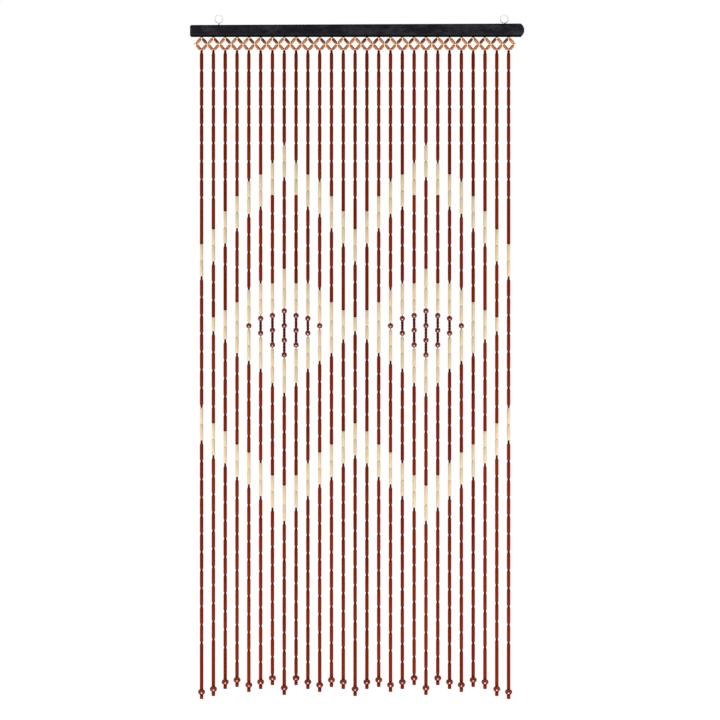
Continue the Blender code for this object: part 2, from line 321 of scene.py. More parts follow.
@dataclass(frozen=True)
class StainedLath:
    """Wood stained black, with pale mottles, rubbed streaks, painted shade along its lower edge and a
    painted highlight line above that.
    """

    underside: float
    name: str = "black_stained_wood"
    stain: Colour = (0.0095, 0.0090, 0.0115)
    mottle: Colour = (0.042, 0.041, 0.047)
    # Painted shade: the rounded lower edge turns near black.
    rim: Colour = (0.0008, 0.0008, 0.0008)
    # Painted highlight: a fine lighter line above the lower edge.
    painted_highlight: Colour = (0.04, 0.039, 0.045)
    cloud_scale: Triple = (28.0, 60.0, 60.0)
    grain_scale: Triple = (26.0, 800.0, 800.0)
    fleck_scale: Triple = (160.0, 420.0, 420.0)
    painted_shade_end: Pair = (4.0 * MM, 4.8 * MM)
    painted_highlight_start: Pair = (4.6 * MM, 5.2 * MM)
    painted_highlight_end: Pair = (6.6 * MM, 7.4 * MM)

    def build(self) -> Material:
        """Make the material, with a fine painted highlight line above the painted shade of the lower
        edge.
        """
        graph = Graph(self.name)
        place = graph.place((1.0, 1.0, 1.0))
        height = graph.add("ShaderNodeSeparateXYZ", inputs={"Vector": place}, output="Z") - self.underside
        clouds = graph.noise(self.cloud_scale, 3.0, 3.0, 0.6)
        grain = graph.noise(self.grain_scale, 1.0, 5.0, 0.6)
        flecks = graph.noise(self.fleck_scale, 8.0, 2.0)
        rubbed = clouds.stepped(0.42, 0.68) * 0.55 + grain.stepped(0.5, 0.78) * 0.35
        rubbed = (rubbed + flecks.stepped(0.6, 0.78) * 0.4).clamped()
        face = graph.mix(rubbed, self.stain, self.mottle)
        # Painted highlight: a fine lighter band a few millimetres above the underside.
        line = height.stepped(*self.painted_highlight_start) * (1.0 - height.stepped(*self.painted_highlight_end))
        face = graph.mix(line * 0.45, face, self.painted_highlight)
        return graph.dress(
            # Painted shade: the lowest few millimetres turn near black.
            Base_Color=graph.mix(1.0 - height.stepped(*self.painted_shade_end), face, self.rim),
            Roughness=0.5 + grain * 0.2,
            Specular_IOR_Level=0.03,
            Normal=graph.bump(grain * 0.7 + flecks * 0.3, 0.25 * MM, 0.6),
        )


@dataclass(frozen=True)
class ZincWire:
    """Bright zinc plate on bent wire, with a white sheen painted at its rims."""

    name: str = "zinc_plate"
    bright: Colour = (0.84, 0.84, 0.85)
    cloudy: Colour = (0.79, 0.80, 0.81)
    # Painted sheen: white painted where the wire turns away from view.
    edge: Colour = (1.0, 1.0, 1.0)
    spangle_scale: Triple = (500.0, 500.0, 500.0)

    def build(self) -> Material:
        """Make the material."""
        graph = Graph(self.name)
        spangle = graph.noise(self.spangle_scale, 2.0, 4.0, 0.6)
        plate = graph.mix(spangle.stepped(0.4, 0.7), self.bright, self.cloudy)
        return graph.dress(
            # Painted sheen at the rims, mixed in by how far the surface turns from view.
            Base_Color=graph.mix(graph.turned().stepped(0.1, 0.8), plate, self.edge),
            Metallic=0.1,
            Roughness=0.5 + spangle * 0.2,
            Normal=graph.bump(spangle, 0.03 * MM, 0.4),
        )


@dataclass(frozen=True)
class PlainFinish:
    """One soft colour with faint clouds, for the cord and the floor."""

    name: str
    colour: Colour
    roughness: float
    scale: float
    glow: float = 0.0

    def build(self) -> Material:
        """Make the material."""
        graph = Graph(self.name)
        clouds = graph.noise((self.scale, self.scale, self.scale), 5.0)
        faded = tuple(channel * 0.94 for channel in self.colour)
        return graph.dress(
            Base_Color=graph.mix(clouds, self.colour, faded),
            Roughness=self.roughness,
            Specular_IOR_Level=0.1,
            Emission_Color=self.colour,
            Emission_Strength=self.glow,
        )


# What the strings and the heading are finished with.
FINISHES = {
    Wood.BROWN: TurnedWood(
        name="red_brown_lacquer",
        body=(0.132, 0.0085, 0.0006),
        pale=(0.194, 0.0200, 0.0018),
        # Towards the ends: painted shade in the waists together with darker end grain.
        deep=(0.035, 0.0015, 0.0003),
        # Painted sheen at the rims.
        edge=(0.62, 0.015, 0.0006),
        rim=0.9,
        grain=0.6,
        roughness=0.42,
        specular=0.05,
    ),
    Wood.CREAM: TurnedWood(
        name="cream_wood",
        body=(0.61, 0.47, 0.295),
        pale=(0.67, 0.53, 0.35),
        # Towards the ends: painted shade in the waists together with darker end grain.
        deep=(0.42, 0.31, 0.17),
        # Painted tan shade at the rims.
        edge=(0.66, 0.47, 0.22),
        rim=0.6,
        grain=0.4,
        roughness=0.5,
        specular=0.12,
    ),
    Wood.ROUND: TurnedWood(
        name="dark_round_lacquer",
        body=(0.15, 0.011, 0.003),
        pale=(0.22, 0.026, 0.007),
        # Towards the ends: painted shade in the waists together with darker end grain.
        deep=(0.035, 0.001, 0.0003),
        # Painted sheen at the rims.
        edge=(0.30, 0.006, 0.0005),
        rim=0.8,
        grain=0.4,
        roughness=0.22,
        specular=0.5,
        coat=1.0,
    ),
    Wood.BARREL: TurnedWood(
        name="heading_barrel_lacquer",
        body=(0.12, 0.012, 0.003),
        pale=(0.82, 0.275, 0.082),
        # Towards the ends: painted shade in the waists together with darker end grain.
        deep=(0.06, 0.004, 0.001),
        # Painted sheen at the rims.
        edge=(0.32, 0.04, 0.006),
        rim=0.5,
        grain=0.4,
        roughness=0.3,
        specular=0.3,
        coat=0.1,
    ),
    Wood.GOLD: GoldBead(),
    Wood.CORD: PlainFinish("brown_cord", (0.03, 0.008, 0.004), roughness=0.8, scale=3000.0),
}


# Meshes


def only(items: Sequence, kinds: type | tuple[type, ...]) -> list:
    """The points, edges or faces among some geometry."""
    return [item for item in items if isinstance(item, kinds)]


def new_piece(
    name: str,
    bm: BMesh,
    materials: Sequence[Material],
    node: str,
    sharp_angle: float = 38.0,
) -> Object:
    """Turn a bmesh into a smooth-shaded piece that stands for a solid.

    Args:
        name: the piece's name.
        bm: its mesh, which is freed.
        materials: its slots in order.
        node: the solid that it stands for.
        sharp_angle: degrees past which an edge stays sharp.

    Returns:
        The piece, riding on the root body.
    """
    mesh = bpy.data.meshes.new(name)
    bm.to_mesh(mesh)
    bm.free()
    for material in materials:
        mesh.materials.append(material)
    mesh.shade_smooth()
    mesh.set_sharp_from_angle(angle=math.radians(sharp_angle))
    piece = bpy.data.objects.new(name, mesh)
    bpy.context.scene.collection.objects.link(piece)
    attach(piece, "root")
    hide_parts(node)
    LOG.info("%s: %d faces", name, len(mesh.polygons))
    return piece


class BeadShape:
    """A bead turned on a lathe, whose straight middle stretches to any length."""

    def __init__(
        self, top: Profile, bottom: Profile, sides: int, shading: float, straight: float = 1.0 * MM
    ) -> None:
        """Turn the bead's two ends, a straight stretch apart, and close them.

        Args:
            top: depths from the upper end and radii, from the end inwards.
            bottom: depths from the lower end and radii, from the end inwards.
            sides: faces round the bead.
            shading: length over which the bead darkens towards its ends, painted shade in the waists
                between beads together with darker end grain.
            straight: length of the straight stretch, or 0 on a ball.
        """
        half = straight / 2.0
        self.shading = shading
        self.upper = half + top[-1][0]
        self.lower = half + bottom[-1][0]
        line = [(self.upper - depth, radius) for depth, radius in top]
        line += [(depth - self.lower, radius) for depth, radius in reversed(bottom)]
        bm = bmesh.new()
        corners = [bm.verts.new((radius, 0.0, height)) for height, radius in line]
        edges = [bm.edges.new(pair) for pair in zip(corners, corners[1:])]
        geometry = [*corners, *edges]
        bmesh.ops.spin(
            bm, geom=geometry, cent=(0, 0, 0), axis=(0, 0, 1), angle=math.tau, steps=sides, use_merge=True
        )
        bmesh.ops.remove_doubles(bm, verts=bm.verts, dist=0.001 * MM)
        rims = [edge for edge in bm.edges if edge.is_boundary]
        bmesh.ops.holes_fill(bm, edges=rims, sides=0)
        bmesh.ops.recalc_face_normals(bm, faces=bm.faces)
        self.mesh = bpy.data.meshes.new("bead_shape")
        bm.to_mesh(self.mesh)
        bm.free()


def ball(
    radius: float, half_height: float, bore: float, sides: int, steps: int, shading: float
) -> BeadShape:
    """Turn a round bead with a flat at each pole.

    Args:
        radius: half its width.
        half_height: half its height.
        bore: radius of the flat at each pole.
        sides: faces round it.
        steps: faces from a pole to its middle.
        shading: length over which it darkens towards its ends, painted shade where it meets the next bead
            together with darker end grain.

    Returns:
        The bead's shape.
    """
    start = math.asin(bore / radius)
    reach = half_height / math.cos(start)
    half = []
    for step in range(steps + 1):
        angle = start + (math.pi / 2.0 - start) * step / steps
        half.append((half_height - reach * math.cos(angle), radius * math.sin(angle)))
    return BeadShape(half, half, sides, shading, 0.0)


class Threading:
    """Mesh to which beads are added one by one, each where it hangs."""

    girths: Pair = (0.985, 1.01)

    def __init__(self, start: int, lean: float = 1.0) -> None:
        """Start an empty mesh with the beads' attributes.

        Args:
            start: start of the random small differences between beads.
            lean: share of the tint that differs from bead to bead, not from string to string.
        """
        self.bm = bmesh.new()
        for layer in Layer:
            self.bm.verts.layers.float.new(layer.value)
        self.chance = random.Random(start)
        self.lean = lean
        self.base = self.chance.random()

    def bead(
        self,
        shape: BeadShape,
        start: Vector,
        end: Vector,
        wood: Wood,
        tint: float | None = None,
        low_tint: float | None = None,
        sag: float = 0.0,
    ) -> None:
        """Add a bead between two points.

        Args:
            shape: its turned shape.
            start: middle of its upper end.
            end: middle of its lower end.
            wood: its finish.
            tint: its tint from 0 to 1, or None for a random one.
            low_tint: tint at its lower end, or None for the same as at its upper one.
            sag: how far its middle bows down.
        """
        first_vert = len(self.bm.verts)
        first_face = len(self.bm.faces)
        self.bm.from_mesh(shape.mesh)
        self.bm.verts.ensure_lookup_table()
        self.bm.faces.ensure_lookup_table()
        tints = self.bm.verts.layers.float[Layer.TINT.value]
        ends = self.bm.verts.layers.float[Layer.NEAR_END.value]
        verts = self.bm.verts[first_vert:]
        length = (end - start).length
        spare = (length - shape.upper - shape.lower) / 2.0
        middle = (shape.upper - shape.lower) / 2.0
        drawn = self.base + (self.chance.random() - self.base) * self.lean if tint is None else tint
        turned = self.chance.uniform(0.0, math.tau)
        girth = self.chance.uniform(*self.girths)
        for vert in verts:
            height = vert.co.z + (spare if vert.co.z >= 0.0 else -spare) - middle
            vert.co = (vert.co.x * girth, vert.co.y * girth, height)
            share = 0.5 - height / length
            vert[tints] = drawn if low_tint is None else drawn + (low_tint - drawn) * share
            # Nearness to the end, which the finishes turn into painted shade at the waists together with
            # darker end grain.
            vert[ends] = max(0.0, 1.0 - (length / 2.0 - abs(height)) / shape.shading)
        along = (start - end).normalized()
        turn = along.to_track_quat("Z", "Y").to_matrix().to_4x4() @ Matrix.Rotation(turned, 4, "Z")
        matrix = Matrix.Translation((start + end) / 2.0) @ turn
        shares = [0.5 - vert.co.z / length for vert in verts]
        bmesh.ops.transform(self.bm, matrix=matrix, verts=verts)
        for vert, share in zip(verts, shares):
            vert.co.z -= sag * 4.0 * share * (1.0 - share)
        for face in self.bm.faces[first_face:]:
            face.material_index = wood.value


# The strings


@dataclass(frozen=True)
class Layout:
    """Where the strings hang."""

    count: int = 27
    pitch: float = 31.8 * MM
    underside: float = -56.156278 * MM

    def point(self, number: float, depth: float) -> Vector:
        """Point at a string's number, or between two, and a depth below the bar."""
        x = (number - (self.count - 1) / 2.0) * self.pitch
        return Vector((x, 0.0, self.underside - depth))


class Joint(Enum):
    """How a brown bead ends where it meets a cream one or the foot.

    A square end is cut off straight. A tapered end is turned, and a necked one is turned
    and kept apart from the next bead by a small dark one.
    """

    SQUARE = "square"
    NECKED = "necked"
    TAPERED = "tapered"


class StringRow(NamedTuple):
    """One string's runs of beads, in millimetres below the bar, from the top down.

    The upper and lower cream runs draw the outer diamond, the inner run the inner one.
    Round beads part the inner run about its middle where their count isn't 0. The last
    four numbers count the whole brown beads of the four brown runs.
    """

    upper_top: float
    upper_end: float
    inner_top: float
    inner_end: float
    rounds_middle: float
    rounds: int
    lower_top: float
    lower_end: float
    foot_top: float
    upper_top_joint: Joint
    upper_end_joint: Joint
    inner_top_joint: Joint
    lower_top_joint: Joint
    foot_joint: Joint
    first_beads: int
    second_beads: int
    third_beads: int
    last_beads: int


# Short names for the table's joints.
S = Joint.SQUARE
N = Joint.NECKED
T = Joint.TAPERED

# A row for each distance, in strings, from the middle of a figure.
STRING_ROWS = (
    StringRow(291.0, 378.0, 624.0, 959.0, 797.1, 4, 1207.5, 1303.5, 1746.0, N, N, S, S, S, 5, 4, 4, 8),
    StringRow(339.5, 426.5, 663.0, 932.0, 789.9, 3, 1180.0, 1267.5, 1719.5, N, S, S, S, T, 6, 4, 4, 9),
    StringRow(370.0, 457.0, 663.5, 893.5, 777.9, 2, 1147.5, 1236.5, 1730.0, S, N, N, N, S, 5, 4, 5, 9),
    StringRow(389.0, 476.5, 681.5, 872.5, 777.9, 1, 1118.5, 1205.0, 1738.0, N, N, N, S, S, 7, 4, 4, 9),
    StringRow(428.5, 515.5, 714.0, 851.5, 0.0, 0, 1097.0, 1185.0, 1724.5, S, N, S, S, S, 7, 3, 4, 10),
    StringRow(469.0, 556.0, 735.5, 814.5, 0.0, 0, 1061.5, 1148.5, 1730.0, S, N, S, S, S, 7, 1, 4, 10),
    StringRow(517.5, 604.5, 754.5, 793.0, 0.0, 0, 1040.0, 1127.0, 1749.0, S, N, S, S, S, 8, 2, 4, 10),
    StringRow(558.0, 645.0, 0.0, 0.0, 0.0, 0, 998.5, 1086.5, 1757.0, S, N, S, N, S, 8, 7, 0, 11),
)


@dataclass(frozen=True)
class BeadSizes:
    """Sizes of the beads on the strings, and of the cord through them."""

    tube_sides: int = 12
    brown_radius: float = 4.85 * MM
    cream_radius: float = 4.6 * MM
    waist_radius: float = 3.2 * MM
    neck_radius: float = 2.9 * MM
    brown_pitch: float = 48.88 * MM
    cream_pitch: float = 43.5 * MM
    cream_gap: float = 2.0 * MM
    cream_surplus: float = 12.5 * MM
    upper_stub: float = 4.5 * MM
    lower_stub: float = 7.2 * MM
    play: float = 0.02 * MM
    round_radius: float = 7.4 * MM
    round_pitch: float = 39.4 * MM
    round_margin: float = 2.4 * MM
    seed_radius: float = 4.0 * MM
    seeds: int = 3
    foot_radius: float = 9.6 * MM
    foot_height: float = 16.3 * MM
    foot_rise: float = 1.0 * MM
    tip_depth: float = 26.0 * MM
    cord_radius: float = 0.7 * MM
    cord_top: float = 34.0 * MM
    cord_in_tip: float = 4.0 * MM
    first_waist: float = 41.5 * MM


class BeadShapes:
    """Turned shapes of all the beads on the strings."""

    def __init__(self, sizes: BeadSizes) -> None:
        """Turn each shape once.

        Args:
            sizes: the beads' sizes.
        """
        brown = sizes.brown_radius
        cream = sizes.cream_radius
        waist = sizes.waist_radius
        neck = sizes.neck_radius
        sides = sizes.tube_sides
        taper = (
            (0.0, waist),
            (1.2 * MM, waist + 0.2 * MM),
            (2.6 * MM, 3.9 * MM),
            (3.8 * MM, 4.5 * MM),
            (4.9 * MM, brown),
        )
        square = (
            (0.0, brown - 0.5 * MM),
            (0.4 * MM, brown - 0.05 * MM),
            (0.8 * MM, brown),
            (4.9 * MM, brown),
        )
        eased = ((0.0, 2.6 * MM), (1.0 * MM, 3.6 * MM), (2.6 * MM, cream))
        slim = ((0.0, 2.1 * MM), (1.2 * MM, 2.7 * MM), (2.6 * MM, 3.7 * MM), (3.8 * MM, cream))
        stub = ((0.0, neck - 0.3 * MM), (0.6 * MM, neck))
        tip = ((0.0, brown - 1.2 * MM), (0.7 * MM, brown - 0.35 * MM), (1.8 * MM, brown))
        wire = ((0.0, sizes.cord_radius),)
        tops = {Joint.SQUARE: square, Joint.NECKED: taper, Joint.TAPERED: taper}
        self.brown = {first: BeadShape(top, taper, sides, 5.0 * MM) for first, top in tops.items()}
        self.brown_cut = BeadShape(taper, square, sides, 5.0 * MM)
        self.cream = BeadShape(eased, eased, sides, 1.6 * MM)
        self.cream_over = BeadShape(eased, slim, sides, 1.6 * MM)
        self.cream_under = BeadShape(slim, eased, sides, 1.6 * MM)
        self.stub = BeadShape(stub, stub, sides, 60.0 * MM)
        self.tip = BeadShape(square, tip, 14, 2.5 * MM)
        self.cord = BeadShape(wire, wire, 8, 5.0 * MM)
        self.round = ball(
            sizes.round_radius, sizes.round_radius, bore=1.6 * MM, sides=16, steps=5, shading=3.0 * MM
        )
        self.pip = ball(1.6 * MM, 1.2 * MM, bore=0.9 * MM, sides=8, steps=2, shading=1.0 * MM)
        self.seed = ball(
            sizes.seed_radius, 4.0 * MM, bore=3.1 * MM, sides=10, steps=3, shading=7.0 * MM
        )
        self.foot = ball(
            sizes.foot_radius, sizes.foot_height / 2.0, bore=2.4 * MM, sides=20, steps=6, shading=2.0 * MM
        )


@dataclass
class BeadString:
    """One string of the curtain, from its first neck to its foot."""

    number: int
    layout: Layout
    row: StringRow
    sizes: BeadSizes
    shapes: BeadShapes
    lean: float = 0.45
    threading: Threading = field(init=False)

    def __post_init__(self) -> None:
        """Start the string's mesh."""
        self.threading = Threading(STRINGS_START + self.number, self.lean)

    def slide(
        self, shape: BeadShape, top: float, bottom: float, wood: Wood, tint: float | None = None
    ) -> None:
        """Put a bead between two depths, with a little play at each end.

        Args:
            shape: its turned shape.
            top: depth of its upper end.
            bottom: depth of its lower end.
            wood: its finish.
            tint: its tint, or None for a random one.
        """
        half_play = self.sizes.play / 2.0
        start = self.layout.point(self.number, top + half_play)
        end = self.layout.point(self.number, bottom - half_play)
        self.threading.bead(shape, start, end, wood, tint)

    def brown_run(self, top: float, bottom: float, whole: int, first: Joint, last: Joint) -> None:
        """Fill a run with whole brown beads, and what is left with a cut one.

        Args:
            top: depth of the run's upper end.
            bottom: depth of its lower end.
            whole: count of whole beads.
            first: how the run starts.
            last: how it ends.
        """
        place = top
        pitch = self.sizes.brown_pitch
        if first == Joint.NECKED:
            place = top + self.sizes.lower_stub
            self.slide(self.shapes.stub, top, place, Wood.BROWN)
        end = bottom
        if last == Joint.NECKED:
            end = bottom - self.sizes.upper_stub
            self.slide(self.shapes.stub, end, bottom, Wood.BROWN)
        if last != Joint.SQUARE:
            pitch = (end - place) / whole
        for count in range(whole):
            shape = self.shapes.brown[first if count == 0 else Joint.TAPERED]
            self.slide(shape, place, place + pitch, Wood.BROWN)
            place += pitch
        if last == Joint.SQUARE:
            self.slide(self.shapes.brown_cut, place, end, Wood.BROWN)

    def cream_run(self, top: float, bottom: float, over: bool = False, under: bool = False) -> None:
        """Fill a run with cream beads, the first longer or the last shorter than the rest.

        Args:
            top: depth of the run's upper end.
            bottom: depth of its lower end.
            over: whether it ends over a round bead, to which it narrows.
            under: whether it starts under one.
        """
        pitch = self.sizes.cream_pitch
        count = max(1, round((bottom - top) / (pitch + self.sizes.cream_gap)))
        surplus = bottom - top - count * pitch
        if surplus > self.sizes.cream_surplus:
            pitch = (bottom - top) / count
            surplus = 0.0
        lengths = [pitch] * count
        lengths[0 if surplus > 0.0 else -1] += surplus
        kinds = [self.shapes.cream] * count
        if under:
            kinds[0] = self.shapes.cream_under
        if over:
            kinds[-1] = self.shapes.cream_over
        place = top
        for kind, length in zip(kinds, lengths):
            self.slide(kind, place, place + length, Wood.CREAM)
            place += length

    def inner_run(self) -> None:
        """Put the cream beads of the inner diamond, and its round beads and seed beads."""
        row = self.row
        if not row.rounds:
            self.cream_run(row.inner_top * MM, row.inner_end * MM)
            return
        radius = self.sizes.round_radius
        margin = self.sizes.round_margin
        pitch = self.sizes.round_pitch
        middle = row.rounds_middle * MM
        centres = [middle + (count - (row.rounds - 1) / 2.0) * pitch for count in range(row.rounds)]
        first = centres[0] - radius
        last = centres[-1] + radius
        self.cream_run(row.inner_top * MM, first - margin, over=True)
        self.slide(self.shapes.pip, first - margin, first, Wood.CREAM)
        self.slide(self.shapes.pip, last, last + margin, Wood.CREAM)
        for centre in centres:
            self.slide(self.shapes.round, centre - radius, centre + radius, Wood.ROUND)
        for above, below in zip(centres, centres[1:]):
            start = above + radius
            seed = (below - above - 2.0 * radius) / self.sizes.seeds
            for count in range(self.sizes.seeds):
                top = start + count * seed
                self.slide(self.shapes.seed, top, top + seed, Wood.BROWN, tint=0.0)
        self.cream_run(last + margin, row.inner_end * MM, under=True)

    def foot(self, top: float) -> None:
        """Put the large round bead and the short tube at the string's foot.

        Args:
            top: depth of the round bead's upper end.
        """
        middle = top + self.sizes.foot_height
        end = self.row.foot_top * MM + self.sizes.tip_depth
        self.slide(self.shapes.foot, top, middle, Wood.ROUND)
        self.slide(self.shapes.tip, middle, end, Wood.BROWN)

    def build(self, materials: Sequence[Material]) -> Object:
        """Thread the whole string.

        Args:
            materials: the finishes in the order of Wood.

        Returns:
            The string as one piece.
        """
        row = self.row
        start = self.sizes.first_waist
        self.brown_run(start, row.upper_top * MM, row.first_beads, Joint.TAPERED, row.upper_top_joint)
        self.cream_run(row.upper_top * MM, row.upper_end * MM)
        inner = row.inner_end > row.inner_top
        second_end = row.inner_top if inner else row.lower_top
        second_joint = row.inner_top_joint if inner else row.lower_top_joint
        start = row.upper_end * MM
        self.brown_run(start, second_end * MM, row.second_beads, row.upper_end_joint, second_joint)
        if inner:
            self.inner_run()
            start = row.inner_end * MM
            self.brown_run(start, row.lower_top * MM, row.third_beads, Joint.NECKED, row.lower_top_joint)
        self.cream_run(row.lower_top * MM, row.lower_end * MM)
        foot_top = row.foot_top * MM - self.sizes.foot_rise
        self.brown_run(row.lower_end * MM, foot_top, row.last_beads, Joint.NECKED, row.foot_joint)
        self.foot(foot_top)
        cord_top = self.layout.point(self.number, self.sizes.cord_top)
        cord_end = foot_top + self.sizes.foot_height + self.sizes.cord_in_tip
        end = self.layout.point(self.number, cord_end)
        self.threading.bead(self.shapes.cord, cord_top, end, Wood.CORD, tint=0.5)
        name = f"bead_string_{self.number + 1:02d}"
        return new_piece(name, self.threading.bm, materials, "bead_strings")


# The heading


@dataclass(frozen=True)
class HeadingSizes:
    """Places, sizes and tints of the heading's beads."""

    top_depth: float = 3.0 * MM
    side_depth: float = 19.2 * MM
    bottom_depth: float = 33.3 * MM
    gold_radius: float = 4.5 * MM
    gold_half_height: float = 2.9 * MM
    barrel_radius: float = 4.2 * MM
    upper_start: Pair = (2.3 * MM, 4.4 * MM)
    upper_end: Pair = (2.3 * MM, 17.2 * MM)
    lower_start: Pair = (2.4 * MM, 21.4 * MM)
    lower_end: Pair = (3.0 * MM, 33.9 * MM)
    sag: float = 0.5 * MM
    neck_radius: float = 3.4 * MM
    neck_top: float = 36.4 * MM
    neck_bottom: float = 41.5 * MM
    # Upper barrels that run towards the middle get painted shade, those that run outwards a painted lit
    # tone.
    painted_shade_tint: float = 0.12
    painted_lit_tint: float = 0.75
    upper_fade: float = 0.9
    lower_tints: Pair = (0.8, 0.25)
    bottom_tint: float = 0.8


@dataclass
class Heading:
    """Row of diamonds under the bar, from which the strings hang."""

    layout: Layout
    sizes: HeadingSizes
    cord: BeadShape
    threading: Threading = field(init=False)
    gold: BeadShape = field(init=False)
    barrel: BeadShape = field(init=False)
    neck: BeadShape = field(init=False)

    def __post_init__(self) -> None:
        """Start the heading's mesh and turn its own beads."""
        self.threading = Threading(HEADING_START)
        sizes = self.sizes
        self.gold = ball(
            sizes.gold_radius, sizes.gold_half_height, bore=1.0 * MM, sides=12, steps=3, shading=1.2 * MM
        )
        radius = sizes.barrel_radius
        end = ((0.0, 1.6 * MM), (0.7 * MM, 2.6 * MM), (2.0 * MM, radius - 0.4 * MM), (4.0 * MM, radius))
        self.barrel = BeadShape(end, end, 12, 2.6 * MM, straight=3.0 * MM)
        neck = ((0.0, 2.7 * MM), (0.8 * MM, sizes.neck_radius))
        self.neck = BeadShape(neck, neck, 12, 60.0 * MM)

    def small_bead(self, number: float, depth: float, wood: Wood, tint: float | None = None) -> None:
        """Put a small bead at a corner of a diamond.

        Args:
            number: string number, or a half number between two strings.
            depth: depth of its middle.
            wood: its finish.
            tint: its tint, or None for a random one.
        """
        half = self.sizes.gold_half_height
        start = self.layout.point(number, depth - half)
        end = self.layout.point(number, depth + half)
        self.threading.bead(self.gold, start, end, wood, tint)

    def barrel_bead(self, number: int, step: float, start: Pair, end: Pair, tints: Pair) -> None:
        """Put a barrel bead between a string's corner of a diamond and the corner beside it.

        Args:
            number: the string's number.
            step: -0.5 for the corner on its left, 0.5 for the one on its right.
            start: how far the upper end is from its corner, across, and its depth.
            end: the same for the lower end.
            tints: tints of the upper and the lower end.
        """
        inward = math.copysign(1.0 / self.layout.pitch, step)
        downwards = start[1] < self.sizes.side_depth
        near, far = (start, end) if downwards else (end, start)
        at_string = self.layout.point(number + inward * near[0], near[1])
        at_side = self.layout.point(number + step - inward * far[0], far[1])
        upper, lower = (at_string, at_side) if downwards else (at_side, at_string)
        self.threading.bead(self.barrel, upper, lower, Wood.BARREL, *tints, self.sizes.sag)

    def diamond(self, number: int) -> None:
        """Put the beads that belong to one string's half diamonds.

        Args:
            number: the string's number.
        """
        sizes = self.sizes
        point = self.layout.point
        top = point(number, sizes.top_depth)
        bottom = point(number, sizes.bottom_depth)
        middle = (self.layout.count - 1) / 2.0
        for step in (-0.5, 0.5):
            side = point(number + step, sizes.side_depth)
            # Painted shade on the upper barrels that run towards the middle, a painted lit tone on the
            # outer ones.
            tint = sizes.painted_shade_tint if step * (middle - number) > 0.0 else sizes.painted_lit_tint
            upper_tints = (tint, tint * sizes.upper_fade)
            self.barrel_bead(number, step, sizes.upper_start, sizes.upper_end, upper_tints)
            self.barrel_bead(number, step, sizes.lower_start, sizes.lower_end, sizes.lower_tints)
            self.threading.bead(self.cord, top, side, Wood.CORD, tint=0.5)
            self.threading.bead(self.cord, side, bottom, Wood.CORD, tint=0.5)
        self.small_bead(number, sizes.top_depth, Wood.GOLD)
        self.small_bead(number, sizes.bottom_depth, Wood.BARREL, sizes.bottom_tint)
        neck_top = point(number, sizes.neck_top)
        neck_bottom = point(number, sizes.neck_bottom)
        self.threading.bead(self.neck, neck_top, neck_bottom, Wood.BROWN, tint=0.0)

    def build(self, materials: Sequence[Material]) -> Object:
        """Make the whole heading.

        Args:
            materials: the finishes in the order of Wood.

        Returns:
            The heading as one piece.
        """
        for number in range(self.layout.count):
            self.diamond(number)
        for number in range(self.layout.count + 1):
            self.small_bead(number - 0.5, self.sizes.side_depth, Wood.GOLD)
        return new_piece("heading_diamonds", self.threading.bm, materials, "bead_strings")


# The bar and its eyes


@dataclass(frozen=True)
class HangingBar:
    """Black bar whose underside is level and which grows taller towards its round end."""

    underside: float
    left: float = -444.5 * MM
    right: float = 455.5 * MM
    depth: float = 20.0 * MM
    left_height: float = 31.6 * MM
    right_height: float = 35.7 * MM
    corner_radius: float = 5.0 * MM
    edge_radius: float = 3.6 * MM
    nose_length: float = 9.7 * MM
    rim_width: float = 0.2 * MM
    corner_steps: int = 8
    nose_steps: int = 24
    edge_steps: int = 5

    def height(self, x: float) -> float:
        """Height of the bar at a place along it."""
        share = (x - self.left) / (self.right - self.left)
        return self.left_height + share * (self.right_height - self.left_height)

    def outline(self) -> list[Pair]:
        """Front outline from the lower left corner round to the upper left one."""
        radius = self.corner_radius
        corner_x = self.left + radius
        half = self.height(self.right - self.nose_length) / 2.0
        nose_radius = (half**2 + self.nose_length**2) / (2.0 * self.nose_length)
        nose_angle = math.degrees(math.asin(half / nose_radius))
        nose = (self.right - nose_radius, self.underside + half)
        lower = (corner_x, self.underside + radius)
        upper = (corner_x, self.underside + self.height(corner_x) - radius)
        points = arc(lower, radius, 180.0, 270.0, self.corner_steps)
        points += arc(nose, nose_radius, -nose_angle, nose_angle, self.nose_steps)
        points += arc(upper, radius, 90.0, 180.0, self.corner_steps)
        return points

    def build(self, material: Material) -> Object:
        """Make the bar, with the front and back edges rounded.

        Args:
            material: its finish.

        Returns:
            The bar as one piece.
        """
        bm = bmesh.new()
        corners = [bm.verts.new((x, -self.depth / 2.0, z)) for x, z in self.outline()]
        front = bm.faces.new(corners)
        grown = bmesh.ops.extrude_face_region(bm, geom=[front], use_keep_orig=True)
        bmesh.ops.translate(bm, vec=(0.0, self.depth, 0.0), verts=only(grown["geom"], BMVert))
        flats = [front, *only(grown["geom"], BMFace)]
        rims = [edge for face in flats for edge in face.edges]
        bmesh.ops.bevel(
            bm, geom=rims, offset=self.edge_radius, offset_type="OFFSET", segments=self.edge_steps,
            profile=0.5, affect="EDGES", material=-1,
        )
        flats = [face for face in bm.faces if len(face.verts) > 4]
        bmesh.ops.inset_region(bm, faces=flats, thickness=self.rim_width, use_even_offset=True)
        bmesh.ops.recalc_face_normals(bm, faces=bm.faces)
        return new_piece("bar_lath", bm, [material], "hanging_bar", 30.0)


